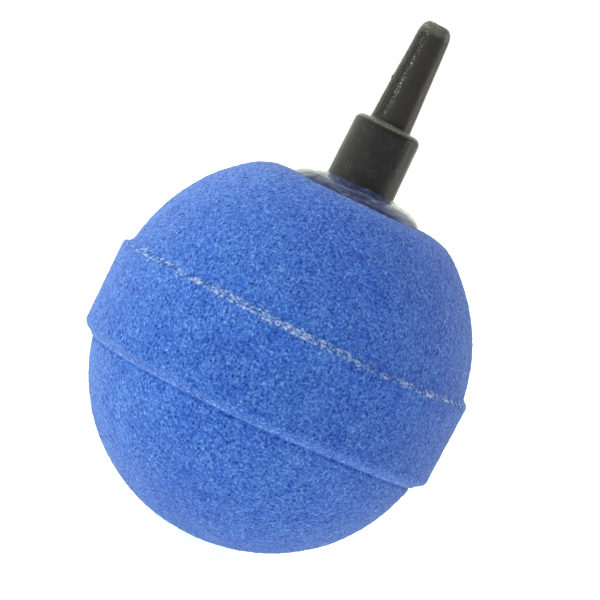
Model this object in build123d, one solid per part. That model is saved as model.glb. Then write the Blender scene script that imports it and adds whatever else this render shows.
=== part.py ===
from build123d import *
import math
import os

# Ball-shaped aquarium air stone, upright: +Z runs along the nipple, z = 0 is
# the lowest point of the ball and the nipple's axis is x = y = 0.  All sizes
# are in millimetres.
#
# A lower stone cup with a raised band round its rim and an upper stone dome
# are bonded on a flat joint at the band's top edge.  They enclose an air
# chamber.  A moulded nipple is bonded into a stepped socket at the pole.

# ---- stone, outside ---------------------------------------------------------
BOWL_R = 23.9            # lower bowl, a sphere standing on z = 0
DOME_R = 24.35           # upper dome
DOME_CENTRE_Z = 28.2
POLE_FLAT_Z = 49.1       # flat pressed on the pole
POLE_EDGE_R = 8.0        # rounding between the flat and the dome
BAND_R = 25.0            # band, at its top edge (50 mm across)
BAND_FOOT_R = 24.78      # band, at its lower corner (mould draft)
BAND_FOOT_Z = 19.4
BAND_CHAMFER_Z = 18.2    # where the band's lower chamfer meets the bowl
BAND_TOP_EDGE_R = 0.25
BAND_FOOT_EDGE_R = 0.45

# ---- the joint between the halves -------------------------------------------
JOINT_Z = 31.05          # rim face of the lower half
SEAM_T = 0.25            # adhesive thickness
BEAD_R = 24.75           # how far out the squeezed-out bead reaches
BEAD_H = 0.42            # bead height above the adhesive layer

# ---- stone, inside ----------------------------------------------------------
CHAMBER_R = 13.3         # air chamber, 10.6 mm walls
CHAMBER_DRAFT = 0.15     # the straight part opens by this much towards the rim
CHAMBER_ROOF_Z = 38.5    # highest point of the chamber
SOCKET_R = 4.75          # socket for the nipple's shank
SOCKET_FLOOR_Z = 41.2
PASSAGE_R = 2.4          # narrower air passage under the ledge
SOCKET_MOUTH_CHAMFER = 0.5

# ---- nipple -----------------------------------------------------------------
BORE_R = 1.0
SHANK_R = 4.25
SHANK_TIP_CHAMFER = 0.5
GROOVE_R = 3.65          # key grooves that the adhesive fills
GROOVES_Z = (43.0, 45.0, 47.0)
GROOVE_W = 0.9
COLLAR_R = 4.65
COLLAR_FOOT_R = 4.75     # slight flare where the collar stands on the flat
COLLAR_FOOT_Z = 50.85
COLLAR_TOP_Z = 59.9
COLLAR_EDGE_R = 0.85
NOZZLE_BASE_R = 2.85
NOZZLE_TIP_R = 2.14
NOZZLE_TOP_Z = 74.6
NOZZLE_EDGE_R = 1.0
NOZZLE_ROOT_FILLET = 0.35

# ---- adhesive round the nipple ----------------------------------------------
PUDDLE_R = 8.95
PUDDLE_TOP_Z = 50.62


def revolve_profile(build):
    """Revolve a half profile, drawn in the XZ plane, about the Z axis."""
    with BuildPart() as part:
        with BuildSketch(Plane.XZ):
            with BuildLine():
                build()
            make_face()
        revolve(axis=Axis.Z, revolution_arc=360)
    return part.part


def mid_arc(p, q, centre):
    """A point halfway along the arc from p to q about the given centre."""
    a = math.atan2(p[1] - centre[1], p[0] - centre[0])
    b = math.atan2(q[1] - centre[1], q[0] - centre[0])
    r = math.hypot(p[0] - centre[0], p[1] - centre[1])
    m = (a + b) / 2
    return (centre[0] + r * math.cos(m), centre[1] + r * math.sin(m))


def one_solid(shape, name):
    solids = shape.solids()
    assert len(solids) == 1, f"{name} has {len(solids)} solids"
    return solids[0]


# ---- lower stone half -------------------------------------------------------
def lower_profile():
    chamfer_r = math.sqrt(BOWL_R**2 - (BOWL_R - BAND_CHAMFER_Z) ** 2)
    bowl_c = (0, BOWL_R)
    bottom, bowl_end = (0, 0), (chamfer_r, BAND_CHAMFER_Z)
    ThreePointArc(bottom, mid_arc(bottom, bowl_end, bowl_c), bowl_end)
    Polyline(
        bowl_end,
        (BAND_FOOT_R, BAND_FOOT_Z),
        (BAND_R, JOINT_Z),
        (CHAMBER_R + CHAMBER_DRAFT, JOINT_Z),
        (CHAMBER_R, BOWL_R),
    )
    floor = (0, BOWL_R - CHAMBER_R)
    side = (CHAMBER_R, BOWL_R)
    ThreePointArc(side, mid_arc(side, floor, bowl_c), floor)
    Line(floor, bottom)


lower = revolve_profile(lower_profile)
rim_edges = [
    e
    for e in lower.edges().filter_by(GeomType.CIRCLE)
    if abs(e.center().Z - JOINT_Z) < 0.01 and abs(e.radius - BAND_R) < 0.01
]
foot_edges = [
    e
    for e in lower.edges().filter_by(GeomType.CIRCLE)
    if abs(e.center().Z - BAND_FOOT_Z) < 0.01 and abs(e.radius - BAND_FOOT_R) < 0.01
]
lower = fillet(rim_edges, BAND_TOP_EDGE_R)
foot_edges = [
    e
    for e in lower.edges().filter_by(GeomType.CIRCLE)
    if abs(e.center().Z - BAND_FOOT_Z) < 0.01 and abs(e.radius - BAND_FOOT_R) < 0.01
]
lower = fillet(foot_edges, BAND_FOOT_EDGE_R)
lower = one_solid(lower, "lower_stone_half")

# ---- upper stone half -------------------------------------------------------
UPPER_Z = JOINT_Z + SEAM_T
dome_c = (0, DOME_CENTRE_Z)
dome_foot_r = math.sqrt(DOME_R**2 - (UPPER_Z - DOME_CENTRE_Z) ** 2)
# centre of the pole's rounding: inside the sphere and under the flat
edge_cz = POLE_FLAT_Z - POLE_EDGE_R
edge_cr = math.sqrt((DOME_R - POLE_EDGE_R) ** 2 - (edge_cz - DOME_CENTRE_Z) ** 2)
edge_flat = (edge_cr, POLE_FLAT_Z)
scale = DOME_R / (DOME_R - POLE_EDGE_R)
edge_dome = (
    edge_cr * scale,
    DOME_CENTRE_Z + (edge_cz - DOME_CENTRE_Z) * scale,
)
# chamber roof: a shallow dome through the rim circle and the roof's height
roof_r0 = CHAMBER_R
roof_h = CHAMBER_ROOF_Z - UPPER_Z
roof_R = (roof_r0**2 + roof_h**2) / (2 * roof_h)
roof_c = (0, CHAMBER_ROOF_Z - roof_R)


def upper_profile():
    foot = (dome_foot_r, UPPER_Z)
    ThreePointArc(foot, mid_arc(foot, edge_dome, dome_c), edge_dome)
    ThreePointArc(
        edge_dome, mid_arc(edge_dome, edge_flat, (edge_cr, edge_cz)), edge_flat
    )
    mouth = SOCKET_R + SOCKET_MOUTH_CHAMFER
    passage_z = roof_c[1] + math.sqrt(roof_R**2 - PASSAGE_R**2)
    Polyline(
        edge_flat,
        (mouth, POLE_FLAT_Z),
        (SOCKET_R, POLE_FLAT_Z - SOCKET_MOUTH_CHAMFER),
        (SOCKET_R, SOCKET_FLOOR_Z),
        (PASSAGE_R, SOCKET_FLOOR_Z),
        (PASSAGE_R, passage_z),
    )
    roof_in, roof_out = (PASSAGE_R, passage_z), (roof_r0, UPPER_Z)
    ThreePointArc(roof_in, mid_arc(roof_in, roof_out, roof_c), roof_out)
    Line(roof_out, foot)


upper = one_solid(revolve_profile(upper_profile), "upper_stone_half")


# ---- nipple: nozzle, collar and shank in one moulding -----------------------
def nipple_profile():
    Polyline(
        (BORE_R, SOCKET_FLOOR_Z),
        (SHANK_R - SHANK_TIP_CHAMFER, SOCKET_FLOOR_Z),
        (SHANK_R, SOCKET_FLOOR_Z + SHANK_TIP_CHAMFER),
        *[
            p
            for z in GROOVES_Z
            for p in (
                (SHANK_R, z - GROOVE_W / 2 - 0.2),
                (GROOVE_R, z - GROOVE_W / 2 + 0.1),
                (GROOVE_R, z + GROOVE_W / 2 - 0.1),
                (SHANK_R, z + GROOVE_W / 2 + 0.2),
            )
        ],
        (SHANK_R, POLE_FLAT_Z),
        (COLLAR_FOOT_R, POLE_FLAT_Z),
        (COLLAR_R, COLLAR_FOOT_Z),
        (COLLAR_R, COLLAR_TOP_Z),
        (NOZZLE_BASE_R, COLLAR_TOP_Z),
        (NOZZLE_TIP_R, NOZZLE_TOP_Z),
        (BORE_R, NOZZLE_TOP_Z),
        close=True,
    )


nipple = revolve_profile(nipple_profile)


def circle_edges(part, z, r):
    found = [
        e
        for e in part.edges().filter_by(GeomType.CIRCLE)
        if abs(e.center().Z - z) < 0.01 and abs(e.radius - r) < 0.01
    ]
    assert found, f"no edge at z {z}, r {r}"
    return found


nipple = fillet(circle_edges(nipple, COLLAR_TOP_Z, COLLAR_R), COLLAR_EDGE_R)
nipple = fillet(circle_edges(nipple, COLLAR_TOP_Z, NOZZLE_BASE_R), NOZZLE_ROOT_FILLET)
nipple = fillet(circle_edges(nipple, NOZZLE_TOP_Z, NOZZLE_TIP_R), NOZZLE_EDGE_R)
nipple = one_solid(nipple, "air_nipple")


# ---- adhesive between the halves, with the bead squeezed out on the rim -----
def seam_profile():
    top = (dome_foot_r - 0.6, UPPER_Z + BEAD_H)
    out = (BEAD_R, JOINT_Z)
    Polyline(out, (CHAMBER_R + CHAMBER_DRAFT, JOINT_Z), (CHAMBER_R, UPPER_Z))
    Polyline((CHAMBER_R, UPPER_Z), (dome_foot_r - 0.6, UPPER_Z), top)
    ThreePointArc(top, (24.5, UPPER_Z + 0.24), out)


seam = one_solid(revolve_profile(seam_profile) - upper, "seam_adhesive")


# ---- adhesive round the nipple ----------------------------------------------
def nipple_glue_profile():
    Polyline(
        (PUDDLE_R, POLE_FLAT_Z),
        (SOCKET_R + SOCKET_MOUTH_CHAMFER, POLE_FLAT_Z),
        (SOCKET_R, POLE_FLAT_Z - SOCKET_MOUTH_CHAMFER),
        (SOCKET_R, SOCKET_FLOOR_Z),
        (GROOVE_R - 0.3, SOCKET_FLOOR_Z),
        (GROOVE_R - 0.3, PUDDLE_TOP_Z),
        (COLLAR_R + 0.6, PUDDLE_TOP_Z),
    )
    ThreePointArc(
        (COLLAR_R + 0.6, PUDDLE_TOP_Z), (7.7, 50.1), (PUDDLE_R, POLE_FLAT_Z)
    )


nipple_glue = revolve_profile(nipple_glue_profile) - nipple
nipple_glue = one_solid(nipple_glue, "nipple_adhesive")

PARTS = {
    "lower_stone_half": lower,
    "upper_stone_half": upper,
    "seam_adhesive": seam,
    "air_nipple": nipple,
    "nipple_adhesive": nipple_glue,
}

os.makedirs("parts", exist_ok=True)
for name, shape in PARTS.items():
    assert shape.is_valid, name
    export_step(shape, f"parts/{name}.step")
    print(f"{name}: {shape.volume:.1f} mm3")
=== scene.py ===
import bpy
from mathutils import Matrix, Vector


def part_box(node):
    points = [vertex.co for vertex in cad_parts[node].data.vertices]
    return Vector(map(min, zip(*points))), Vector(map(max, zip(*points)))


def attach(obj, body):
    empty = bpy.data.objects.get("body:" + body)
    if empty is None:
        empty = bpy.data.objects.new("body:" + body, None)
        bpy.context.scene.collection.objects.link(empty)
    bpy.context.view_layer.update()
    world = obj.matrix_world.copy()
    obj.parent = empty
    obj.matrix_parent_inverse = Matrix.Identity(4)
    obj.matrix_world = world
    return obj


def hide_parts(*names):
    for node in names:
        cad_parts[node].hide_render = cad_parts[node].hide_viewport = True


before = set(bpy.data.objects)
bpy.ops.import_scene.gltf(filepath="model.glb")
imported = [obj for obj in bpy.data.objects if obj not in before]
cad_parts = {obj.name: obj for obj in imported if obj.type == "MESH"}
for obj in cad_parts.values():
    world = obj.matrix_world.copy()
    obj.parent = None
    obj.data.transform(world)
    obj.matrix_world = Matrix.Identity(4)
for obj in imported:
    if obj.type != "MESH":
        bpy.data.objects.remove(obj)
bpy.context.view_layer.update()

import math

import bpy
import numpy as np
from mathutils import Matrix, Vector

MM = 0.001


# ---------------------------------------------------------------------------
# Where things are, from the CAD frame, in millimetres
# ---------------------------------------------------------------------------
def zbox(node):
    lo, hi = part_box(node)
    return lo.z / MM, hi.z / MM


RIM_Z = zbox("lower_stone_half")[1]                 # face the halves are bonded on
FOOT_Z, POLE_Z = zbox("upper_stone_half")
SOCKET_Z, TIP_Z = zbox("air_nipple")
GLUE_TOP_Z = zbox("nipple_adhesive")[1]
BAND_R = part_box("lower_stone_half")[1].x / MM + 0.06
BOWL_R = 23.9
DOME_R, DOME_CZ = 24.35, 28.2
DOME_SHIFT_X = 0.35      # the dome and the bowl are each bonded a little out of line with the nipple
BOWL_SHIFT_X = 0.12
RIM_TILT = 0.0080        # and its joint is not quite square, and wavy
POLE_TILT = 0.008        # nor is the pole's flat
RIM_TWIST, RIM_DIP = 0.32, -0.05
LIP_RISE, LIP_LEFT, LIP_RIGHT = 0.10, 0.10, 0.44

FRONT = -math.pi / 2     # azimuth of the side that faces -Y


PARTING = FRONT - math.radians(27)   # mould parting line on the nozzle
PARTING_C, PARTING_S = math.cos(math.radians(63)), math.sin(math.radians(63))
NOZZLE_Z = 60.1


def angle_from(az, centre):
    return (az - centre + math.pi) % (2 * math.pi) - math.pi


# ---------------------------------------------------------------------------
# Noise on points, seeded and the same on each run
# ---------------------------------------------------------------------------
def hash01(i, j, k, seed):
    h = (
        i.astype(np.uint64) * np.uint64(0x9E3779B1)
        + j.astype(np.uint64) * np.uint64(0x85EBCA77)
        + k.astype(np.uint64) * np.uint64(0xC2B2AE3D)
        + np.uint64(seed * 7919 + 12345)
    ) & np.uint64(0xFFFFFFFF)
    for shift, mul in ((16, 0x7FEB352D), (15, 0x846CA68B)):
        h ^= h >> np.uint64(shift)
        h = (h * np.uint64(mul)) & np.uint64(0xFFFFFFFF)
    h ^= h >> np.uint64(16)
    return h.astype(np.float64) / 4294967296.0


def vnoise(p, size, seed):
    """Smooth value noise from -1 to 1 with features of about this size."""
    q = p / size + 4096.0
    base = np.floor(q)
    f = q - base
    f = f * f * f * (f * (f * 6 - 15) + 10)
    b = base.astype(np.int64)
    out = np.zeros(len(p))
    for dx in (0, 1):
        for dy in (0, 1):
            for dz in (0, 1):
                w = (
                    (f[:, 0] if dx else 1 - f[:, 0])
                    * (f[:, 1] if dy else 1 - f[:, 1])
                    * (f[:, 2] if dz else 1 - f[:, 2])
                )
                out += w * hash01(b[:, 0] + dx, b[:, 1] + dy, b[:, 2] + dz, seed)
    return out * 2 - 1


def worley(p, cell, seed):
    """Distances to the nearest and second nearest grain centres, in cells, and a random number of the nearest grain."""
    q = p / cell + 4096.0
    b = np.floor(q).astype(np.int64)
    f1 = np.full(len(p), 9.0)
    f2 = np.full(len(p), 9.0)
    who = np.zeros(len(p))
    for dx in (-1, 0, 1):
        for dy in (-1, 0, 1):
            for dz in (-1, 0, 1):
                i, j, k = b[:, 0] + dx, b[:, 1] + dy, b[:, 2] + dz
                c = np.stack(
                    [i + hash01(i, j, k, seed + n) for n in (1, 2, 3)][:1]
                    + [j + hash01(i, j, k, seed + 2), k + hash01(i, j, k, seed + 3)],
                    axis=1,
                )
                d = np.linalg.norm(q - c, axis=1)
                nearer = d < f1
                f2 = np.where(nearer, f1, np.minimum(f2, d))
                who = np.where(nearer, hash01(i, j, k, seed + 4), who)
                f1 = np.where(nearer, d, f1)
    return f1, f2, who


def smoothstep(a, b, x):
    t = np.clip((x - a) / (b - a), 0, 1)
    return t * t * (3 - 2 * t)


def grain(p, seed=11):
    """Height of the sintered grains at points on the stone's skin, in mm, about -0.1 to 0.1."""
    f1, f2, who = worley(p, 0.56, seed)
    bumps = (0.62 - f1) * 0.10 + (who - 0.5) * 0.045
    g1, _, who2 = worley(p, 1.05, seed + 20)
    bumps += (0.6 - g1) * 0.05 + (who2 - 0.5) * 0.03
    return bumps + 0.018 * vnoise(p, 0.4, seed + 3)


def lumps(p, seed=31):
    """Slow unevenness of the pressed shape, in mm."""
    return 0.07 * vnoise(p, 17.0, seed) + 0.035 * vnoise(p, 6.0, seed + 1) + 0.02 * vnoise(p, 2.4, seed + 2)


# ---------------------------------------------------------------------------
# Surfaces of revolution with even triangles
# ---------------------------------------------------------------------------
class Profile:
    """Half profile in (r, z), walked with the solid on the left, made of runs that each have their own sampling."""

    def __init__(self):
        self.pts, self.h, self.tag = [], [], []

    def _add(self, pts, h, tag):
        for p in pts:
            if self.pts and math.dist(self.pts[-1], p) < 1e-6:
                continue
            self.pts.append((float(p[0]), float(p[1])))
            self.h.append(h)
            self.tag.append(tag)

    def line(self, p, q, step, h=None, tag=0):
        n = max(1, int(round(math.dist(p, q) / step)))
        self._add(
            [(p[0] + (q[0] - p[0]) * t / n, p[1] + (q[1] - p[1]) * t / n) for t in range(n + 1)],
            h or step,
            tag,
        )
        return self

    def arc(self, centre, r, a0, a1, step, h=None, tag=0):
        n = max(2, int(round(abs(a1 - a0) * r / step)))
        self._add(
            [
                (
                    centre[0] + r * math.cos(a0 + (a1 - a0) * t / n),
                    centre[1] + r * math.sin(a0 + (a1 - a0) * t / n),
                )
                for t in range(n + 1)
            ],
            h or step,
            tag,
        )
        return self


def stitch(a, b, pa, pb, na, nb, flip):
    """Triangles between ring a and ring b, whose first vertices are a and b, whose phases are pa and pb, and whose counts are na and nb."""
    tris = []
    if na == 1 and nb == 1:
        return tris
    if na == 1 or nb == 1:
        c, r, n = (a, b, nb) if na == 1 else (b, a, na)
        for i in range(n):
            t = (c, r + i, r + (i + 1) % n)
            tris.append(t if (na == 1) != flip else t[::-1])
        return tris
    i = j = 0
    # start both rings at the smallest angle after the other's first vertex
    off = int(round(((pa - pb) % (2 * math.pi)) / (2 * math.pi) * nb)) % nb
    base_b = pb + off * 2 * math.pi / nb
    while base_b - pa > math.pi:
        base_b -= 2 * math.pi
    while base_b - pa < -math.pi:
        base_b += 2 * math.pi
    da, db = 2 * math.pi / na, 2 * math.pi / nb
    while i < na or j < nb:
        next_a = pa + (i + 1) * da
        next_b = base_b + (j + 1) * db
        va = a + i % na
        vb = b + (off + j) % nb
        if j >= nb or (i < na and next_a <= next_b):
            t = (va, vb, a + (i + 1) % na)
            i += 1
        else:
            t = (va, vb, b + (off + j + 1) % nb)
            j += 1
        tris.append(t if not flip else t[::-1])
    return tris


def revolve(profile, loop, seed=1):
    """Vertices (mm), triangles, and each vertex's profile sample, azimuth, outward normal in (r, z) and tag.

    loop closes the profile on itself; otherwise it runs from pole to pole.
    """
    pts = np.array(profile.pts)
    n = len(pts)
    if loop:
        if math.dist(pts[0], pts[-1]) < 1e-6:
            pts = pts[:-1]
            n -= 1
        d = np.roll(pts, -1, 0) - np.roll(pts, 1, 0)
    else:
        d = np.gradient(pts, axis=0)
    d /= np.maximum(np.linalg.norm(d, axis=1, keepdims=True), 1e-9)
    normal = np.stack([d[:, 1], -d[:, 0]], axis=1)
    if not loop:
        for e in (0, -1):
            normal[e] = (0, math.copysign(1, normal[e][1]))
    rng = np.random.default_rng(seed)
    first, counts, phases, verts, samp, azim = [], [], [], [], [], []
    for k in range(n):
        r, z = pts[k]
        first.append(len(samp))
        if r < 1e-6:
            c, ph = 1, 0.0
        else:
            c = max(10, int(round(2 * math.pi * r / profile.h[k])))
            ph = rng.random() * 2 * math.pi
        counts.append(c)
        phases.append(ph)
        ang = ph + np.arange(c) * 2 * math.pi / c
        verts.append(np.stack([r * np.cos(ang), r * np.sin(ang), np.full(c, z)], axis=1))
        samp += [k] * c
        azim.append(ang)
    tris = []
    for k in range(n if loop else n - 1):
        m = (k + 1) % n
        tris += stitch(first[k], first[m], phases[k], phases[m], counts[k], counts[m], True)
    samp = np.array(samp)
    azim = np.concatenate(azim)
    azim = (azim + math.pi) % (2 * math.pi) - math.pi
    return {
        "co": np.concatenate(verts),
        "tris": np.array(tris, np.int32),
        "samp": samp,
        "az": azim,
        "nr": normal[samp, 0],
        "nz": normal[samp, 1],
        "tag": np.array(profile.tag)[samp],
        "r": pts[samp, 0],
        "z": pts[samp, 1],
    }


def outward(m):
    return np.stack([m["nr"] * np.cos(m["az"]), m["nr"] * np.sin(m["az"]), m["nz"]], axis=1)


def warp(co):
    """The slight squint of the joint and the lip, the same for every piece that meets there."""
    x, y, z = co[:, 0], co[:, 1], co[:, 2]
    rr = np.maximum(x * x + y * y, 1.0)
    twist = -2 * x * y / rr
    near = smoothstep(5.0, 14.0, np.sqrt(rr))
    rim = RIM_TILT * x - near * (RIM_TWIST * twist + RIM_DIP * np.clip(-y, 0, None) ** 2 / rr)
    lip = near * (LIP_RISE + LIP_LEFT * np.minimum(twist, 0) + LIP_RIGHT * np.maximum(twist, 0))
    to_rim = smoothstep(20.0, 30.0, z)
    out = co.copy()
    out[:, 2] += rim * to_rim * (1 - smoothstep(33.0, 46.0, z)) + lip * smoothstep(8.0, 17.2, z) * (1 - to_rim)
    out[:, 2] += POLE_TILT * x * smoothstep(44.0, 48.5, z)
    lower = 1 - smoothstep(31.0, 31.6, z)
    out[:, 0] += lower * (BOWL_SHIFT_X + 0.10 * smoothstep(19.0, 31.0, z)) * smoothstep(14.0, 20.0, np.hypot(co[:, 0], co[:, 1]) + (24 - z) * 0.4)
    return out


def signed_volume(co, tris):
    a, b, c = co[tris[:, 0]], co[tris[:, 1]], co[tris[:, 2]]
    return float(np.einsum("ij,ij->i", a, np.cross(b, c)).sum() / 6)


def make_object(name, co, tris, material, replaced):
    if signed_volume(co, tris) < 0:
        tris = tris[:, ::-1]
    me = bpy.data.meshes.new(name)
    me.vertices.add(len(co))
    me.vertices.foreach_set("co", (co * MM).astype(np.float32).ravel())
    me.loops.add(len(tris) * 3)
    me.loops.foreach_set("vertex_index", np.ascontiguousarray(tris, np.int32).ravel())
    me.polygons.add(len(tris))
    me.polygons.foreach_set("loop_start", np.arange(0, len(tris) * 3, 3, dtype=np.int32))
    me.polygons.foreach_set("use_smooth", np.ones(len(tris), bool))
    me.update(calc_edges=True)
    me.validate()
    me.materials.append(material)
    ob = bpy.data.objects.new(name, me)
    bpy.context.scene.collection.objects.link(ob)
    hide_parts(replaced)
    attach(ob, "root")
    print(f"{name}: {len(co)} vertices, {len(tris)} triangles")
    return ob


# ---------------------------------------------------------------------------
# Materials
# ---------------------------------------------------------------------------
def srgb(r, g, b):
    def lin(c):
        c /= 255
        return c / 12.92 if c <= 0.04045 else ((c + 0.055) / 1.055) ** 2.4

    return (lin(r), lin(g), lin(b), 1.0)


class Nodes:
    def __init__(self, name):
        self.mat = bpy.data.materials.new(name)
        self.mat.use_nodes = True
        self.tree = self.mat.node_tree
        self.tree.nodes.clear()
        self.out = self.tree.nodes.new("ShaderNodeOutputMaterial")
        self.bsdf = self.tree.nodes.new("ShaderNodeBsdfPrincipled")
        self.link(self.bsdf.outputs[0], self.out.inputs["Surface"])
        coord = self.tree.nodes.new("ShaderNodeTexCoord")
        scale = self.tree.nodes.new("ShaderNodeVectorMath")
        scale.operation = "SCALE"
        scale.inputs["Scale"].default_value = 1000.0
        self.link(coord.outputs["Object"], scale.inputs[0])
        self.mm = scale.outputs[0]  # object coordinates in millimetres

    def link(self, a, b):
        self.tree.links.new(a, b)

    def set(self, name, value):
        self.bsdf.inputs[name].default_value = value

    def put(self, value, socket):
        if isinstance(value, (int, float)):
            socket.default_value = value
        elif isinstance(value, tuple):
            socket.default_value = value
        else:
            self.link(value, socket)

    def math(self, op, a, b=0.0, c=None, clamp=False):
        n = self.tree.nodes.new("ShaderNodeMath")
        n.operation = op
        n.use_clamp = clamp
        self.put(a, n.inputs[0])
        self.put(b, n.inputs[1])
        if c is not None:
            self.put(c, n.inputs[2])
        return n.outputs[0]

    def voronoi(self, size, feature="F1", smooth=None):
        n = self.tree.nodes.new("ShaderNodeTexVoronoi")
        n.voronoi_dimensions = "3D"
        n.feature = feature
        n.inputs["Scale"].default_value = 1.0 / size
        if smooth is not None:
            n.inputs["Smoothness"].default_value = smooth
        self.link(self.mm, n.inputs["Vector"])
        return n

    def noise(self, size, detail=2.0, rough=0.5, distortion=0.0, vector=None):
        n = self.tree.nodes.new("ShaderNodeTexNoise")
        n.noise_dimensions = "3D"
        n.inputs["Scale"].default_value = 1.0 / size
        n.inputs["Detail"].default_value = detail
        n.inputs["Roughness"].default_value = rough
        n.inputs["Distortion"].default_value = distortion
        self.link(vector or self.mm, n.inputs["Vector"])
        return n

    def range(self, value, a, b, lo=0.0, hi=1.0, kind="LINEAR"):
        n = self.tree.nodes.new("ShaderNodeMapRange")
        n.interpolation_type = kind
        self.put(value, n.inputs["Value"])
        n.inputs["From Min"].default_value = a
        n.inputs["From Max"].default_value = b
        n.inputs["To Min"].default_value = lo
        n.inputs["To Max"].default_value = hi
        return n.outputs["Result"]

    def ramp(self, value, stops):
        n = self.tree.nodes.new("ShaderNodeValToRGB")
        while len(n.color_ramp.elements) < len(stops):
            n.color_ramp.elements.new(0.5)
        for e, (at, colour) in zip(n.color_ramp.elements, stops):
            e.position = at
            e.color = colour
        self.put(value, n.inputs[0])
        return n.outputs["Color"]

    def mix(self, fac, a, b, kind="MIX"):
        n = self.tree.nodes.new("ShaderNodeMix")
        n.data_type = "RGBA"
        n.blend_type = kind
        self.put(fac, n.inputs[0])
        self.put(a, n.inputs[6])
        self.put(b, n.inputs[7])
        return n.outputs[2]

    def axis(self, which):
        n = self.tree.nodes.new("ShaderNodeSeparateXYZ")
        self.link(self.mm, n.inputs[0])
        return n.outputs[which]

    def bump(self, height, distance_mm, strength=1.0, normal=None):
        n = self.tree.nodes.new("ShaderNodeBump")
        n.inputs["Strength"].default_value = strength
        n.inputs["Distance"].default_value = distance_mm * MM
        self.link(height, n.inputs["Height"])
        if normal is not None:
            self.link(normal, n.inputs["Normal"])
        return n.outputs["Normal"]


LIP_Z = 18.36            # crest of the pressed lip under the band
GLUE_SHIFT_X = 0.55      # the clear adhesive ran out further on one side


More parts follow.
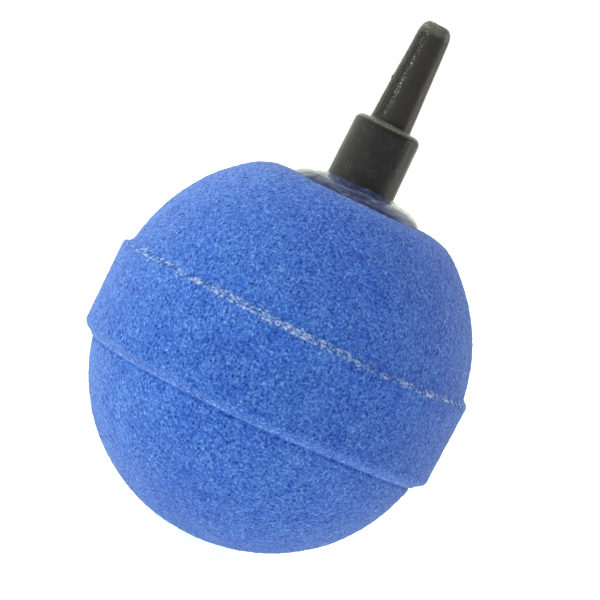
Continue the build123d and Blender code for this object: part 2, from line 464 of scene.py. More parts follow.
def stone_material():
    m = Nodes("blue_sintered_stone")
    grains = m.voronoi(0.48)
    fine = m.noise(0.31, detail=0.8, rough=0.5)
    thread_n = m.noise(0.55, detail=1.0, rough=0.5, distortion=0.4)
    specks = m.noise(0.45, detail=1.2, rough=0.5)
    mottle = m.noise(3.2, detail=3.0, rough=0.6)
    broad = m.noise(17.0, detail=1.0)

    # one number per point: 0 in the pores between grains, which are darkened as painted shade, 1 on the palest ridges
    sep = m.tree.nodes.new("ShaderNodeSeparateColor")
    m.link(grains.outputs["Color"], sep.inputs[0])
    deep = m.range(sep.outputs[0], 0.40, 0.85)
    pore_pit_and_shade = m.math("MULTIPLY", m.range(grains.outputs["Distance"], 0.50, 0.26), deep)
    thread = m.range(m.math("ABSOLUTE", m.math("SUBTRACT", thread_n.outputs[0], 0.5)), 0.075, 0.0)
    v = m.math("MULTIPLY_ADD", thread, 0.25, 0.40)
    # painted shade in the pores; the same mask also sinks them in the bump
    v = m.math("MULTIPLY_ADD", pore_pit_and_shade, -0.29, v)
    v = m.math("MULTIPLY_ADD", m.math("SUBTRACT", fine.outputs[0], 0.5), 0.96, v)
    v = m.math("MULTIPLY_ADD", m.math("SUBTRACT", specks.outputs[0], 0.5), 0.50, v)
    v = m.math("MULTIPLY_ADD", m.math("SUBTRACT", mottle.outputs[0], 0.5), 0.34, v)
    v = m.math("MULTIPLY_ADD", m.math("SUBTRACT", broad.outputs[0], 0.5), 0.16, v)

    # the lip pressed under the band is paler along its crest, partly its denser grain and partly a painted highlight,
    # and the groove below it is darkened as painted shade
    z = m.axis(2)
    x = m.axis(0)
    y = m.axis(1)
    rr = m.math("MAXIMUM", m.math("MULTIPLY_ADD", y, y, m.math("MULTIPLY", x, x)), 1.0)
    twist = m.math("DIVIDE", m.math("MULTIPLY", m.math("MULTIPLY", x, y), -2.0), rr)
    wander = m.math("MULTIPLY", m.math("SUBTRACT", m.noise(6.0, detail=1.0).outputs[0], 0.5), 0.25)
    zl = m.math("ADD", z, wander)
    zl = m.math("MULTIPLY_ADD", m.math("MINIMUM", twist, 0.0), -LIP_LEFT, zl)
    zl = m.math("MULTIPLY_ADD", m.math("MAXIMUM", twist, 0.0), -LIP_RIGHT, zl)
    zl = m.math("SUBTRACT", zl, LIP_RISE)
    patchy_lip_light_and_shade = m.range(m.noise(1.9, detail=2.0).outputs[0], 0.36, 0.56, 0.45, 1.0)
    lip = m.range(m.math("ABSOLUTE", m.math("SUBTRACT", zl, LIP_Z)), 0.26, 0.08, kind="SMOOTHSTEP")
    painted_groove_shade = m.range(m.math("ABSOLUTE", m.math("SUBTRACT", zl, LIP_Z - 0.42)), 0.28, 0.06, kind="SMOOTHSTEP")
    # painted highlight along the lip's crest, painted shade in the groove below it, both broken up in patches
    v = m.math("MULTIPLY_ADD", m.math("MULTIPLY", lip, patchy_lip_light_and_shade), 0.22, v)
    v = m.math("MULTIPLY_ADD", m.math("MULTIPLY", painted_groove_shade, patchy_lip_light_and_shade), -0.10, v)
    blue = m.ramp(
        v,
        [
            (0.00, srgb(12, 52, 156)),
            (0.25, srgb(36, 81, 184)),
            (0.50, srgb(67, 110, 203)),
            (0.75, srgb(106, 142, 219)),
            (1.00, srgb(158, 182, 232)),
        ],
    )

    # crumbs of dry adhesive stuck along the band's upper edge
    level = m.math("MULTIPLY_ADD", x, -RIM_TILT, z)
    level = m.math("MULTIPLY_ADD", twist, RIM_TWIST, level)
    ahead = m.math("POWER", m.math("MAXIMUM", m.math("MULTIPLY", y, -1.0), 0.0), 2.0)
    level = m.math("MULTIPLY_ADD", m.math("DIVIDE", ahead, rr), RIM_DIP, level)
    edge = m.range(m.math("ABSOLUTE", m.math("SUBTRACT", level, RIM_Z + 0.25)), 0.95, 0.25)
    patch = m.range(m.noise(2.4, detail=2.0).outputs[0], 0.44, 0.62)
    bits = m.range(m.noise(0.24, detail=1.5).outputs[0], 0.53, 0.66)
    chalk = m.math("MULTIPLY", m.math("MULTIPLY", edge, patch), bits, clamp=True)
    blue = m.mix(1.0, blue, (0.86, 0.98, 1.10, 1), "MULTIPLY")
    colour = m.mix(m.math("MULTIPLY", chalk, 0.80), blue, srgb(182, 194, 222))

    # soaked dark where the clear adhesive lies on the pole flat
    reach = m.math("POWER", m.math("SUBTRACT", x, GLUE_SHIFT_X), 2.0)
    reach = m.math("SQRT", m.math("MULTIPLY_ADD", y, y, reach))
    reach = m.math("MULTIPLY_ADD", m.math("SUBTRACT", m.noise(0.9).outputs[0], 0.5), 0.8, reach)
    soaked = m.math("MULTIPLY", m.range(reach, 9.15, 8.70), m.range(z, 47.5, 48.2))
    dark = m.mix(1.0, colour, (0.26, 0.17, 0.22, 1), "MULTIPLY")
    colour = m.mix(soaked, colour, dark)
    m.link(colour, m.bsdf.inputs["Base Color"])

    rough = m.range(specks.outputs[0], 0.3, 0.7, 0.80, 0.97)
    m.link(rough, m.bsdf.inputs["Roughness"])
    m.set("IOR", 1.45)
    m.set("Specular IOR Level", 0.30)
    m.set("Sheen Weight", 0.20)
    m.set("Sheen Roughness", 0.5)
    m.set("Sheen Tint", (1.0, 0.96, 0.80, 1.0))

    h = m.math("MULTIPLY", pore_pit_and_shade, -0.9)
    h = m.math("MULTIPLY_ADD", thread, 0.35, h)
    h = m.math("MULTIPLY_ADD", fine.outputs[0], 0.9, h)
    h = m.math("MULTIPLY_ADD", specks.outputs[0], 0.6, h)
    m.link(m.bump(h, 0.12, 1.0), m.bsdf.inputs["Normal"])
    return m.mat


def seam_material():
    m = Nodes("crumbly_seam_adhesive")
    grains = m.voronoi(0.42)
    patch = m.noise(1.7, detail=2.0, rough=0.6)
    bits = m.noise(0.42, detail=1.2, rough=0.5)
    thread_n = m.noise(0.52, detail=1.0, rough=0.5, distortion=0.5)
    thread = m.range(m.math("ABSOLUTE", m.math("SUBTRACT", thread_n.outputs[0], 0.5)), 0.10, 0.0)
    v = m.math("MULTIPLY_ADD", m.math("SUBTRACT", patch.outputs[0], 0.5), 1.5, 0.24)
    v = m.math("MULTIPLY_ADD", m.math("SUBTRACT", bits.outputs[0], 0.5), 2.0, v)
    v = m.math("MULTIPLY_ADD", thread, 0.34, v)
    v = m.math("MULTIPLY_ADD", m.math("SUBTRACT", 0.5, grains.outputs["Distance"]), 0.35, v, clamp=True)
    grey = m.ramp(
        v,
        [
            (0.00, srgb(40, 80, 176)),
            (0.22, srgb(72, 114, 204)),
            (0.45, srgb(116, 150, 218)),
            (0.70, srgb(164, 186, 230)),
            (1.00, srgb(206, 216, 242)),
        ],
    )
    tint = m.mix(m.range(m.noise(0.9, detail=1.0).outputs[0], 0.42, 0.58), (0.93, 1.03, 1.00, 1), (1.12, 0.95, 1.04, 1))
    colour = m.mix(1.0, grey, tint, "MULTIPLY")
    m.link(colour, m.bsdf.inputs["Base Color"])
    m.link(m.range(bits.outputs[0], 0.3, 0.7, 0.6, 0.9), m.bsdf.inputs["Roughness"])
    m.set("Specular IOR Level", 0.3)
    h = m.math("MULTIPLY_ADD", bits.outputs[0], 0.8, m.math("MULTIPLY", grains.outputs["Distance"], -0.6))
    m.link(m.bump(h, 0.12, 1.0), m.bsdf.inputs["Normal"])
    return m.mat


def nipple_material():
    m = Nodes("black_moulded_plastic")
    peel = m.noise(0.55, detail=3.0, rough=0.6)
    scuff = m.noise(0.32, detail=3.0, rough=0.65, distortion=0.8)
    cloud = m.noise(2.8, detail=2.0)
    bits = m.voronoi(0.42)
    stretch = m.tree.nodes.new("ShaderNodeMapping")
    stretch.inputs["Scale"].default_value = (1.0, 1.0, 0.14)
    m.link(m.mm, stretch.inputs["Vector"])
    drag = m.noise(0.30, detail=2.0, vector=stretch.outputs[0])
    x, y, z = m.axis(0), m.axis(1), m.axis(2)

    base = m.ramp(
        cloud.outputs[0],
        [(0.30, (0.0180, 0.0170, 0.0205, 1)), (0.70, (0.0240, 0.0225, 0.0265, 1))],
    )
    # the pitted mould half: pale scuffs on one side of the nozzle, thickest at the parting line
    on_nozzle = m.range(z, NOZZLE_Z, NOZZLE_Z + 0.8)
    side = m.math("ADD", m.math("MULTIPLY", x, -PARTING_S), m.math("MULTIPLY", y, PARTING_C))
    left = m.range(side, -0.15, 0.35)
    at_line = m.math("MULTIPLY", m.range(m.math("ABSOLUTE", side), 0.42, 0.06), m.range(y, 0.2, -0.2))
    pitted_side_and_shade = m.math("MULTIPLY", left, on_nozzle)
    base = m.mix(on_nozzle, base, (0.0350, 0.0310, 0.0325, 1))
    # painted shade: the pitted side of the nozzle, towards the key lamp, is made near black
    base = m.mix(m.math("MULTIPLY", pitted_side_and_shade, 0.85), base, (0.0070, 0.0064, 0.0072, 1))
    scuffs = m.math("MULTIPLY", m.range(scuff.outputs[0], 0.52, 0.62), pitted_side_and_shade)
    base = m.mix(m.math("MULTIPLY", scuffs, 0.75), base, (0.030, 0.028, 0.028, 1))
    sep = m.tree.nodes.new("ShaderNodeSeparateColor")
    m.link(bits.outputs["Color"], sep.inputs[0])
    speck = m.math("MULTIPLY", m.range(bits.outputs["Distance"], 0.42, 0.20), m.range(sep.outputs[0], 0.42, 0.60))
    torn = m.range(m.noise(0.24, detail=2.0, rough=0.7, distortion=1.0).outputs[0], 0.54, 0.64)
    flash_and_glint_specks = m.math("MULTIPLY", m.math("MULTIPLY", torn, at_line), on_nozzle)
    # pale specks of torn flash along the parting line, partly painted glints
    base = m.mix(m.math("MULTIPLY", flash_and_glint_specks, 0.85), base, (0.46, 0.46, 0.44, 1))
    # odd scratches and dust on the collar, and paler rims as painted highlights: the tip's rounded top, with some rub
    # wear, and the collar's shoulder round the nozzle's root
    low = m.range(z, NOZZLE_Z + 1.0, NOZZLE_Z - 0.5)
    dust = m.math("MULTIPLY", m.math("MULTIPLY", torn, low), m.range(m.noise(1.5, detail=2.0).outputs[0], 0.50, 0.66))
    base = m.mix(m.math("MULTIPLY", dust, 0.45), base, (0.13, 0.13, 0.125, 1))
    highlight_and_rub = m.math("MULTIPLY", m.range(z, TIP_Z - 1.9, TIP_Z - 0.9), m.range(peel.outputs[0], 0.40, 0.60, 0.45, 1.0))
    shoulder_highlight = m.math("MULTIPLY", m.range(z, 59.30, 59.62), m.range(z, 60.10, 59.95))
    highlight_and_rub = m.math("ADD", highlight_and_rub, m.math("MULTIPLY", shoulder_highlight, m.range(peel.outputs[0], 0.35, 0.60, 0.5, 1.0)), clamp=True)
    # painted highlight on the tip's top and on the collar's shoulder
    base = m.mix(m.math("MULTIPLY", highlight_and_rub, 0.75), base, (0.20, 0.20, 0.18, 1))
    m.link(base, m.bsdf.inputs["Base Color"])
    r = m.range(cloud.outputs[0], 0.3, 0.7, 0.31, 0.41)
    r = m.math("MULTIPLY_ADD", m.math("SUBTRACT", scuff.outputs[0], 0.5), 0.35, r)
    r = m.math("MULTIPLY_ADD", pitted_side_and_shade, -0.06, r, clamp=True)
    m.link(r, m.bsdf.inputs["Roughness"])
    m.set("IOR", 1.5)
    m.set("Specular IOR Level", 0.25)
    m.set("Specular Tint", (1.0, 0.87, 1.0, 1.0))
    rough_h = m.math("MULTIPLY", m.math("MULTIPLY_ADD", scuff.outputs[0], 1.0, speck), m.math("MULTIPLY_ADD", pitted_side_and_shade, 2.2, 0.12))
    h = m.math("MULTIPLY_ADD", peel.outputs[0], 0.6, rough_h)
    h = m.math("MULTIPLY_ADD", drag.outputs[0], 0.6, h)
    m.link(m.bump(h, 0.045, 1.0), m.bsdf.inputs["Normal"])
    return m.mat


def clear_material():
    m = Nodes("clear_adhesive")
    slow = m.noise(1.6, detail=2.0)
    fine = m.noise(0.6, detail=1.5)
    # streaks that follow the circle round the collar: in the bump, and as a paler colour that is a painted glint
    x, y, z = m.axis(0), m.axis(1), m.axis(2)
    rr = m.math("SQRT", m.math("MULTIPLY_ADD", y, y, m.math("MULTIPLY", x, x)))
    around = m.math("ARCTAN2", x, m.math("MULTIPLY", y, -1.0))
    round_collar_coords = m.tree.nodes.new("ShaderNodeCombineXYZ")
    m.link(m.math("MULTIPLY", around, 2.6), round_collar_coords.inputs[0])
    m.link(m.math("MULTIPLY", rr, 1.5), round_collar_coords.inputs[1])
    m.link(m.math("MULTIPLY", z, 2.2), round_collar_coords.inputs[2])
    swirl = m.noise(1.0, detail=2.0, rough=0.55, distortion=0.6, vector=round_collar_coords.outputs[0])
    base = m.ramp(slow.outputs[0], [(0.35, (0.050, 0.062, 0.170, 1)), (0.65, (0.100, 0.122, 0.290, 1))])
    glint_streak = m.range(swirl.outputs[0], 0.56, 0.66)
    # painted glints: pale lavender streaks on the puddle
    base = m.mix(m.math("MULTIPLY", glint_streak, 0.85), base, (0.34, 0.36, 0.54, 1))
    # paler and greyer towards +X, where the puddle runs out furthest
    paler_towards_plus_x = m.math("MULTIPLY", m.range(x, 3.5, 7.5), m.range(slow.outputs[0], 0.30, 0.60, 0.50, 1.0))
    base = m.mix(m.math("MULTIPLY", paler_towards_plus_x, 0.78), base, (0.43, 0.46, 0.64, 1))
    m.link(base, m.bsdf.inputs["Base Color"])
    m.link(m.range(fine.outputs[0], 0.3, 0.7, 0.10, 0.26), m.bsdf.inputs["Roughness"])
    m.set("IOR", 1.47)
    m.set("Specular IOR Level", 0.15)
    m.set("Specular Tint", (0.82, 0.86, 1.0, 1.0))
    m.set("Transmission Weight", 0.34)
    h = m.math("MULTIPLY_ADD", swirl.outputs[0], 0.9, slow.outputs[0])
    m.link(m.bump(h, 0.12, 1.0), m.bsdf.inputs["Normal"])
    return m.mat


# ---------------------------------------------------------------------------
# Lower stone half: bowl, chamfer with its pressed lip, band, rim and chamber
# ---------------------------------------------------------------------------
SKIN, EDGE, RIM, INSIDE = 1, 2, 3, 0


def lower_half(material):
    h = 0.245
    row = h * 0.866
    p = Profile()
    bowl_end_z = 17.72
    a_end = math.asin((bowl_end_z - BOWL_R) / BOWL_R)
    bowl_end = (BOWL_R * math.cos(a_end), bowl_end_z)
    p.arc((0, BOWL_R), BOWL_R, -math.pi / 2, a_end, row, h, SKIN)
    # groove, lip, underside and corner of the band
    foot = [
        bowl_end,
        (bowl_end[0] - 0.06, 17.90),
        (bowl_end[0] - 0.05, 18.04),
        (23.22, 18.16),
        (23.46, 18.24),
        (23.56, 18.38),
        (23.62, 18.52),
        (23.82, 18.66),
        (24.02, 18.78),
        (24.22, 18.90),
        (24.42, 19.04),
        (24.60, 19.20),
        (24.74, 19.38),
        (24.82, 19.58),
        (24.86, 19.80),
    ]
    p._add(foot, h, SKIN)
    lip = (23.50, 18.30)
    top = (BAND_R, RIM_Z - 0.26)
    p.line(foot[-1], top, row, h, SKIN)
    p.arc((BAND_R - 0.26, RIM_Z - 0.26), 0.26, 0, math.pi / 2, 0.13, h, EDGE)
    p.line((BAND_R - 0.26, RIM_Z), (23.9, RIM_Z), 0.19, h, RIM)
    p.line((23.9, RIM_Z), (22.0, RIM_Z), 0.9, 1.2, INSIDE)
    p.line((22.0, RIM_Z), (13.45, RIM_Z), 2.4, 2.6, INSIDE)
    p.line((13.45, RIM_Z), (13.3, BOWL_R), 2.2, 2.2, INSIDE)
    p.arc((0, BOWL_R), 13.3, 0, -math.pi / 2, 2.2, 2.2, INSIDE)
    m = revolve(p, loop=False, seed=5)
    co = m["co"].copy()
    n = outward(m)
    skin = np.isin(m["tag"], (SKIN, EDGE, RIM))
    ring = np.stack([np.cos(m["az"]), np.sin(m["az"]), 0 * m["az"]], axis=1) * 25
    near_lip = np.exp(-(((m["z"] - 18.28) / 0.26) ** 2)) * skin
    d = np.zeros(len(co))
    q = co[skin]
    d[skin] = grain(q) * (1 - 0.65 * near_lip[skin]) + lumps(q) * np.where(m["tag"][skin] == RIM, 0.3, 1.0)
    # worn, crumbled top corner of the band
    near = np.exp(-(((m["z"] - RIM_Z + 0.10) / 0.42) ** 2)) * np.exp(-(((m["r"] - BAND_R) / 0.55) ** 2)) * skin
    chips = np.clip(vnoise(ring, 1.15, 71) * 0.9 + vnoise(ring, 3.6, 72) * 0.7 - 0.20, 0, 1)
    d -= near * (0.04 + 0.34 * chips)
    d += near * 0.08 * vnoise(co, 0.45, 73)
    # the pressed lip under the band wanders and is torn in places
    d += near_lip * (0.05 * vnoise(ring, 5.0, 75) + 0.035 * vnoise(ring, 0.8, 76) - 0.01)
    co += n * d[:, None]
    # the bowl was pressed a touch fuller near its foot
    low = smoothstep(16.0, 7.0, m["z"]) * smoothstep(1.5, 5.0, m["r"]) * skin
    k = 1 + 0.10 * low / np.maximum(m["r"], 1)
    co[:, 0] *= k
    co[:, 1] *= k
    co[:, 2] = np.maximum(co[:, 2], -0.02)
    return make_object("stone_bowl_and_band", warp(co), m["tris"], material, "lower_stone_half")


# ---------------------------------------------------------------------------
# Upper stone half: dome, pole flat, stepped socket and chamber roof
# ---------------------------------------------------------------------------
def upper_half(material):
    h = 0.200
    row = h * 0.866
    foot_r = math.sqrt(DOME_R**2 - (FOOT_Z - DOME_CZ) ** 2)
    edge_r = 8.0
    cz = POLE_Z - edge_r
    cr = math.sqrt((DOME_R - edge_r) ** 2 - (cz - DOME_CZ) ** 2)
    a_dome = math.atan2(cz - DOME_CZ, cr)
    p = Profile()
    p.arc((0, DOME_CZ), DOME_R, math.asin((FOOT_Z - DOME_CZ) / DOME_R), a_dome, row, h, SKIN)
    p.arc((cr, cz), edge_r, a_dome, math.pi / 2, row, h, SKIN)
    p.line((cr, POLE_Z), (7.2, POLE_Z), row, h, SKIN)
    p.line((7.2, POLE_Z), (5.25, POLE_Z), 0.4, 0.5, INSIDE)
    p.line((5.25, POLE_Z), (4.75, POLE_Z - 0.5), 0.4, 0.6, INSIDE)
    p.line((4.75, POLE_Z - 0.5), (4.75, SOCKET_Z), 1.2, 0.8, INSIDE)
    p.line((4.75, SOCKET_Z), (2.4, SOCKET_Z), 1.0, 0.8, INSIDE)
    roof_h = 38.5 - FOOT_Z
    roof_R = (13.3**2 + roof_h**2) / (2 * roof_h)
    roof_cz = 38.5 - roof_R
    pass_z = roof_cz + math.sqrt(roof_R**2 - 2.4**2)
    p.line((2.4, SOCKET_Z), (2.4, pass_z), 1.0, 0.8, INSIDE)
    p.arc(
        (0, roof_cz),
        roof_R,
        math.atan2(pass_z - roof_cz, 2.4),
        math.atan2(FOOT_Z - roof_cz, 13.3),
        2.0,
        2.0,
        INSIDE,
    )
    p.line((13.3, FOOT_Z), (22.5, FOOT_Z), 2.4, 2.4, INSIDE)
    p.line((22.5, FOOT_Z), (foot_r, FOOT_Z), 0.8, 0.8, INSIDE)
    m = revolve(p, loop=True, seed=6)
    co = m["co"].copy()
    n = outward(m)
    skin = m["tag"] == SKIN
    d = np.zeros(len(co))
    d[skin] = grain(co[skin], 13) + lumps(co[skin], 33)
    co += n * d[:, None]
    co[:, 0] += DOME_SHIFT_X * smoothstep(9.0, 14.0, m["r"]) * skin
    return make_object("stone_dome", warp(co), m["tris"], material, "upper_stone_half")


# ---------------------------------------------------------------------------
# Seam adhesive: a thin layer between the halves and an uneven bead on the rim
# ---------------------------------------------------------------------------
def seam(material):
    h = 0.13
    p = Profile()

    def wall(z):
        """Radius of the dome's skin at a height."""
        return math.sqrt(DOME_R**2 - (z - DOME_CZ) ** 2)

    r0, r1 = wall(FOOT_Z) - 0.55, BAND_R - 0.10
    z0, zt = RIM_Z - 0.10, FOOT_Z + 0.95
    p.line((13.42, RIM_Z), (r0 - 1.2, RIM_Z), 2.6, 2.6, INSIDE)
    p.line((r0 - 1.2, RIM_Z), (r0, z0 - 0.1), 0.5, 0.7, INSIDE)
    p.line((r0, z0 - 0.1), (r1, z0 - 0.1), 0.3, h, INSIDE)
    # skirt of crumbs: over the rim's edge, across the rim and up the dome's wall
    bead = [(r1, z0 - 0.1), (r1 + 0.02, z0), (r1 - 0.03, z0 + 0.12), (r1 - 0.14, z0 + 0.22), (r1 - 0.27, z0 + 0.33)]
    z = z0 + 0.45
    while z < zt:
        t = (z - z0 - 0.45) / (zt - z0 - 0.45)
        bead.append((wall(z) + 0.34 * (1 - t) ** 1.6 + 0.02, z))
        z += 0.115
    bead.append((wall(zt) - 0.06, zt))
    p._add(bead, h, SKIN)
    p.line((wall(zt) - 0.06, zt), (r0, zt - 0.2), 0.3, 0.4, INSIDE)
    p.line((r0, zt - 0.2), (r0, FOOT_Z), 0.4, 0.4, INSIDE)
    p.line((r0, FOOT_Z), (13.32, FOOT_Z), 2.6, 2.6, INSIDE)
    m = revolve(p, loop=True, seed=7)
    co = m["co"].copy()
    az = m["az"]
    n = outward(m)
    skin = m["tag"] == SKIN
    ring = np.stack([np.cos(az), np.sin(az), 0 * az], axis=1) * 25
    # how much was squeezed out here: long patches, then lumps within them
    ahead = np.exp(-((angle_from(az, FRONT) / 0.85) ** 2))
    amount = 0.36 + 0.42 * vnoise(ring, 6.5, 81) + 0.34 * vnoise(ring, 1.7, 82) + 0.26 * ahead
    amount = np.clip(amount, 0.0, 1.0)
    up = smoothstep(RIM_Z + 0.1, zt, m["z"])
    # high on the wall only the thickest patches show
    show = amount - 0.90 * up + 0.34 * vnoise(co, 0.75, 83) + 0.20 * vnoise(co, 0.35, 84)
    f1, _, who = worley(co, 0.36, 85)
    crumbs = (0.52 - f1) * 0.22 + (who - 0.5) * 0.14
    d = np.clip(show, -0.6, 0.7) * 0.32 - 0.13 + crumbs * smoothstep(0.0, 0.5, amount)
    d = np.clip(d, -0.42, 0.20)
    co += n * (d * skin)[:, None]
    # follow the dome where the bead lies on its wall
    co[:, 0] += DOME_SHIFT_X * smoothstep(RIM_Z - 0.05, RIM_Z + 0.5, m["z"]) * smoothstep(20.0, 23.0, m["r"])
    return make_object("seam_bead", warp(co), m["tris"], material, "seam_adhesive")


# ---------------------------------------------------------------------------
# Nipple: nozzle, collar, grooved shank and bore in one moulding
# ---------------------------------------------------------------------------
def nipple(material):
    h = 0.17
    p = Profile()
    bore = 1.0
    p.line((bore, TIP_Z - 0.25), (bore, SOCKET_Z), 1.0, 0.45, INSIDE)
    p.line((bore, SOCKET_Z), (3.75, SOCKET_Z), 0.7, 0.6, INSIDE)
    p.line((3.75, SOCKET_Z), (4.25, SOCKET_Z + 0.5), 0.4, 0.6, INSIDE)
    last = (4.25, SOCKET_Z + 0.5)
    for z in (43.0, 45.0, 47.0):
        for q in ((4.25, z - 0.65), (3.65, z - 0.35), (3.65, z + 0.35), (4.25, z + 0.65)):
            p.line(last, q, 0.5, 0.6, INSIDE)
            last = q
    p.line(last, (4.25, POLE_Z), 0.6, 0.6, INSIDE)
    p.line((4.25, POLE_Z), (4.75, POLE_Z), 0.3, 0.4, INSIDE)
    p.line((4.75, POLE_Z), (4.74, 50.85), 0.25, 0.3, SKIN)
    top = 59.86
    e = 1.05
    p.line((4.74, 50.85), (4.64, 56.2), 0.22, 0.25, SKIN)
    p.line((4.64, 56.2), (4.61, top - e), 0.22, 0.25, SKIN)
    p.arc((4.61 - e, top - e), e, 0, math.pi / 2, 0.10, h, SKIN)
    f = 0.30
    p.line((4.61 - e, top), (2.85 + f, top), 0.12, h, SKIN)
    p.arc((2.85 + f, top + f), f, -math.pi / 2, -math.pi, 0.08, h, SKIN)
    e2 = 1.05
    p.line((2.85, top + f), (2.20, TIP_Z - 1.9), 0.13, h, SKIN)
    # rounded over towards the hole, which has a softened mouth
    tip = [
        (2.20, TIP_Z - 1.9),
        (2.165, TIP_Z - 1.55),
        (2.11, TIP_Z - 1.2),
        (2.02, TIP_Z - 0.88),
        (1.90, TIP_Z - 0.6),
        (1.74, TIP_Z - 0.36),
        (1.56, TIP_Z - 0.17),
        (1.38, TIP_Z - 0.05),
        (1.24, TIP_Z),
        (1.14, TIP_Z - 0.02),
        (1.06, TIP_Z - 0.09),
        (bore, TIP_Z - 0.18),
        (bore, TIP_Z - 0.25),
    ]
    for a, b in zip(tip, tip[1:]):
        p.line(a, b, 0.13, h * 0.8, SKIN)
    m = revolve(p, loop=True, seed=8)
    co = m["co"].copy()
    az, z, r = m["az"], m["z"], m["r"]
    n = outward(m)
    skin = (m["tag"] == SKIN) & (r > bore + 0.15)
    d = 0.006 * vnoise(co, 0.9, 91) + 0.008 * vnoise(co, 2.5, 92)
    nozzle = smoothstep(top + 0.2, top + 0.7, z)
    # mould parting line down both sides of the nozzle, with torn flash
    for centre, size in ((PARTING, 1.0), (PARTING + math.pi, 0.7)):
        arc_mm = angle_from(az, centre) * r
        torn = 0.55 + 0.6 * vnoise(np.stack([z, 0 * z, 0 * z], axis=1), 0.35, 93) + 0.3 * vnoise(
            np.stack([z, 0 * z, 0 * z], axis=1), 1.6, 94
        )
        d += size * 0.075 * np.clip(torn, 0.12, 1.2) * np.exp(-((arc_mm / 0.10) ** 2)) * nozzle
    # fainter line down the collar
    arc_mm = angle_from(az, FRONT + math.radians(21)) * r
    d += 0.03 * np.exp(-((arc_mm / 0.11) ** 2)) * (z < top) * (z > 50.8)
    # one mould half is pitted
    side = angle_from(az, PARTING)
    pitted = smoothstep(0.05, 0.25, -side) * (1 - smoothstep(2.5, 2.9, -side)) * nozzle
    f1, _, who = worley(co, 0.42, 95)
    pits = np.clip(0.48 - f1, 0, 1) * (who > 0.35)
    d -= 0.16 * pits * pitted
    d += 0.022 * vnoise(co, 0.33, 96) * pitted
    # rough patch at the nozzle's root and a few nicks on the collar's shoulder
    f1, _, who = worley(co, 0.8, 97)
    nick = np.clip(0.35 - f1, 0, 1) * (who > 0.82)
    d -= 0.16 * nick * (1 - 0.5 * nozzle)
    # crumb of residue stuck on the left side
    crumb = np.array([-(2.51 + 0.02), -0.1, 65.9])
    dist = np.linalg.norm((co - crumb) * np.array([1, 1, 0.75]), axis=1)
    d += 0.13 * np.exp(-((dist / 0.33) ** 2)) * (1 + 0.5 * vnoise(co, 0.25, 98))
    d *= skin
    co += n * d[:, None]
    # the tip was cut a little out of square
    co[:, 2] -= smoothstep(TIP_Z - 1.2, TIP_Z, z) * (0.05 + 0.03 * co[:, 0])
    return make_object("moulded_nipple", co, m["tris"], material, "air_nipple")


# ---------------------------------------------------------------------------
# Clear adhesive puddled round the collar and filling the socket's gap
# ---------------------------------------------------------------------------
def glue(material):
    h = 0.22
    p = Profile()
    p.line((4.22, SOCKET_Z + 0.05), (4.73, SOCKET_Z + 0.05), 0.3, 0.5, INSIDE)
    p.line((4.73, SOCKET_Z + 0.05), (4.73, POLE_Z - 0.6), 1.2, 0.7, INSIDE)
    p.line((4.73, POLE_Z - 0.6), (5.3, POLE_Z - 0.25), 0.3, 0.5, INSIDE)
    edge, low = 8.95, POLE_Z - 0.16
    p.line((5.3, POLE_Z - 0.25), (edge, low), 0.4, 0.4, INSIDE)
    # section: round at the edge, a long slope, nearly flat at the collar
    p._add([(edge, low)], h, SKIN)
    knots_r = [8.95, 8.97, 8.90, 8.62, 7.72, 6.62, 5.60, 4.60]
    knots_z = [low, 49.12, 49.32, 49.60, 50.14, 50.44, 50.62, 50.92]
    steps = 34
    rr = np.interp(np.linspace(0, 1, steps), np.linspace(0, 1, len(knots_r)), knots_r)
    zz = np.interp(np.linspace(0, 1, steps), np.linspace(0, 1, len(knots_r)), knots_z)
    soft = np.array([0.25, 0.5, 0.25])
    for _ in range(6):
        rr[1:-1] = np.convolve(rr, soft, "valid")
        zz[1:-1] = np.convolve(zz, soft, "valid")
    sec = list(zip(rr[1:], zz[1:]))
    p._add(sec, h, SKIN)
    p.line((4.6, 50.92), (4.6, POLE_Z), 0.5, 0.5, INSIDE)
    p.line((4.6, POLE_Z), (4.22, POLE_Z - 0.1), 0.3, 0.5, INSIDE)
    p.line((4.22, POLE_Z - 0.1), (4.22, SOCKET_Z + 0.05), 1.4, 0.7, INSIDE)
    m = revolve(p, loop=True, seed=9)
    co = m["co"].copy()
    az, r = m["az"], m["r"]
    ring = np.stack([np.cos(az), np.sin(az), 0 * az], axis=1) * 8.95
    spread = GLUE_SHIFT_X * np.cos(az) + 0.16 * vnoise(ring, 5.0, 101) + 0.08 * vnoise(ring, 1.8, 102)
    k = smoothstep(4.75, 7.2, r)
    new_r = r + spread * k
    scale = np.where(r > 1e-6, new_r / np.maximum(r, 1e-6), 1)
    co[:, 0] *= scale
    co[:, 1] *= scale
    skin = m["tag"] == SKIN
    rise = smoothstep(POLE_Z - 0.2, POLE_Z + 0.5, m["z"]) * skin
    co[:, 2] += rise * (0.05 * vnoise(co, 2.4, 103) + 0.03 * vnoise(co, 0.9, 104) + 0.08 * np.cos(az) + 0.10)
    co[:, 2] += POLE_TILT * co[:, 0] * smoothstep(44.0, 48.5, m["z"])
    # meniscus drawn up the collar
    co[:, 2] += skin * (0.20 + 0.12 * vnoise(ring, 2.2, 105)) * np.exp(-np.maximum(r - 4.6, 0) / 0.25)
    return make_object("clear_glue", co, m["tris"], material, "nipple_adhesive")


stone = stone_material()
lower_half(stone)
upper_half(stone)
seam(seam_material())
nipple(nipple_material())
glue(clear_material())

# ---------------------------------------------------------------------------
# Floor, light and camera
# ---------------------------------------------------------------------------
scene = bpy.context.scene


def plane(name, half, z):
    me = bpy.data.meshes.new(name)
    me.from_pydata([(-half, -half, z), (half, -half, z), (half, half, z), (-half, half, z)], [], [(0, 1, 2, 3)])
    ob = bpy.data.objects.new(name, me)
    scene.collection.objects.link(ob)
    return ob


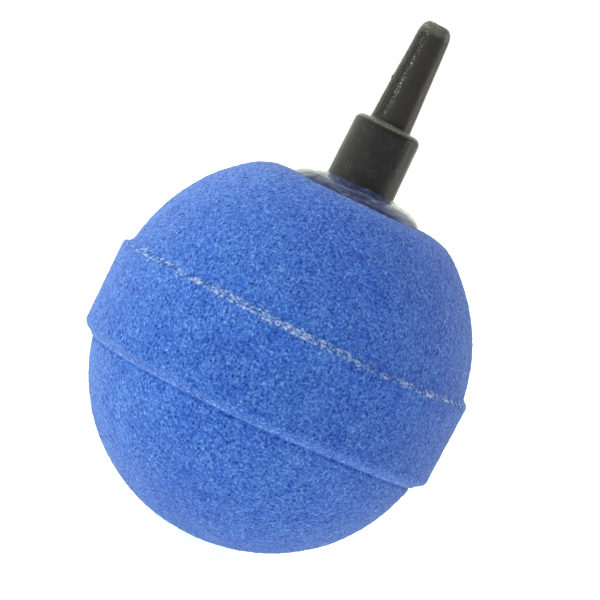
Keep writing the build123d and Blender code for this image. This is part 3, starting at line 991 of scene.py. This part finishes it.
floor = plane("floor", 6.0, -0.0001)
fm = bpy.data.materials.new("floor_white")
fm.use_nodes = True
fb = fm.node_tree.nodes["Principled BSDF"]
fb.inputs["Base Color"].default_value = (0.38, 0.38, 0.375, 1)
fb.inputs["Roughness"].default_value = 0.9
fb.inputs["Specular IOR Level"].default_value = 0.1
FLOOR_GLOW = (0.90, (0.99, 1.11, 0.92))
fb.inputs["Emission Color"].default_value = (*FLOOR_GLOW[1], 1)
fb.inputs["Emission Strength"].default_value = FLOOR_GLOW[0]
floor.data.materials.append(fm)

# White surround, a little different in brightness from each side of the room:
# strength and colour of what comes from that side
ROOM = {
    "left": (2.36, (0.92, 1.05, 0.77)),
    "right": (0.05, (1.0, 0.95, 0.78)),
    "front": (0.23, (1.0, 0.94, 1.0)),
    "back": (2.5, (0.99, 1.01, 0.81)),
    "top": (0.62, (1.0, 1.0, 1.0)),
}
GLOSS_DIM = -0.35
SIDE = {"left": (0, -1), "right": (0, 1), "front": (1, -1), "back": (1, 1), "top": (2, 1)}
world = bpy.data.worlds.new("studio")
scene.world = world
world.use_nodes = True
wt = world.node_tree
wt.nodes.clear()
wout = wt.nodes.new("ShaderNodeOutputWorld")
bg = wt.nodes.new("ShaderNodeBackground")
seen = wt.nodes.new("ShaderNodeBackground")
seen.inputs["Color"].default_value = (1, 1, 1, 1)
seen.inputs["Strength"].default_value = 1.05
tc = wt.nodes.new("ShaderNodeTexCoord")
sx = wt.nodes.new("ShaderNodeSeparateXYZ")
wt.links.new(tc.outputs["Generated"], sx.inputs[0])
total = None
for side, (which, sign) in SIDE.items():
    strength, tint = ROOM[side]
    facing = wt.nodes.new("ShaderNodeMath")
    facing.operation = "MULTIPLY"
    facing.use_clamp = True
    wt.links.new(sx.outputs[which], facing.inputs[0])
    facing.inputs[1].default_value = sign
    square = wt.nodes.new("ShaderNodeMath")
    square.operation = "POWER"
    wt.links.new(facing.outputs[0], square.inputs[0])
    square.inputs[1].default_value = 2.0
    part = wt.nodes.new("ShaderNodeVectorMath")
    part.operation = "SCALE"
    part.inputs[0].default_value = tuple(c * strength for c in tint)
    wt.links.new(square.outputs[0], part.inputs["Scale"])
    if total is None:
        total = part.outputs[0]
    else:
        add = wt.nodes.new("ShaderNodeVectorMath")
        wt.links.new(total, add.inputs[0])
        wt.links.new(part.outputs[0], add.inputs[1])
        total = add.outputs[0]
wt.links.new(total, bg.inputs["Color"])
lp = wt.nodes.new("ShaderNodeLightPath")
# mirrored, the room is a little dimmer; seen directly or through the clear adhesive, plain white
dim = wt.nodes.new("ShaderNodeMath")
dim.operation = "MULTIPLY_ADD"
wt.links.new(lp.outputs["Is Glossy Ray"], dim.inputs[0])
dim.inputs[1].default_value = GLOSS_DIM
dim.inputs[2].default_value = 1.0
wt.links.new(dim.outputs[0], bg.inputs["Strength"])
direct = wt.nodes.new("ShaderNodeMath")
direct.operation = "MAXIMUM"
wt.links.new(lp.outputs["Is Camera Ray"], direct.inputs[0])
wt.links.new(lp.outputs["Is Transmission Ray"], direct.inputs[1])
ms = wt.nodes.new("ShaderNodeMixShader")
wt.links.new(direct.outputs[0], ms.inputs[0])
wt.links.new(bg.outputs[0], ms.inputs[1])
wt.links.new(seen.outputs[0], ms.inputs[2])
wt.links.new(ms.outputs[0], wout.inputs["Surface"])


def area(name, where, at, size, power, colour):
    data = bpy.data.lights.new(name, "AREA")
    data.shape = "DISK"
    data.size = size
    data.energy = power
    data.color = colour
    ob = bpy.data.objects.new(name, data)
    ob.location = where
    ob.rotation_mode = "QUATERNION"
    ob.rotation_quaternion = (Vector(at) - Vector(where)).to_track_quat("-Z", "Y")
    scene.collection.objects.link(ob)
    return ob


middle = (0, 0, 0.028)
KEY = (1.25, (0.91, 1.05, 0.77))
key = area("key_left", (-0.55, -0.16, 0.10), middle, 0.50, KEY[0], KEY[1])
key.visible_glossy = False
# two small bright ones that draw lines on the plastic's rounded edges
area("top_spark", (0.03, -0.02, 0.85), (0, 0, 0.06), 0.24, 0.95, (1.0, 1.0, 0.93))
spark = area("right_spark", (0.585, 0.13, 0.20), (0, 0, 0.06), 0.36, 1.10, (1.0, 1.0, 0.90))
spark.visible_diffuse = False
# a soft fill on the dome's right side, from above
fill = area("fill_right", (0.45, 0.02, 0.42), middle, 0.35, 0.34, (1.0, 0.98, 0.92))
fill.visible_glossy = False

cam_data = bpy.data.cameras.new("camera")
cam = bpy.data.objects.new("camera", cam_data)
scene.collection.objects.link(cam)
scene.camera = cam
cam_data.sensor_width = 36.0
DISTANCE, ELEVATION, LEAN = 0.575, math.radians(2.5), math.radians(26.1)
cam_data.lens = 36.0 * DISTANCE / 0.07895
cam_data.clip_start, cam_data.clip_end = 0.01, 100.0
target = Vector((-0.00055, 0.0, 0.0341))
back = Vector((0, -math.cos(ELEVATION), math.sin(ELEVATION)))
cam.location = target + back * DISTANCE
turn = (-back).to_track_quat("-Z", "Y").to_matrix()
cam.rotation_mode = "QUATERNION"
cam.rotation_quaternion = (turn @ Matrix.Rotation(LEAN, 3, "Z")).to_quaternion()

scene.view_settings.view_transform = "Standard"
scene.view_settings.look = "None"
scene.view_settings.exposure = 0.0
scene.view_settings.gamma = 1.0
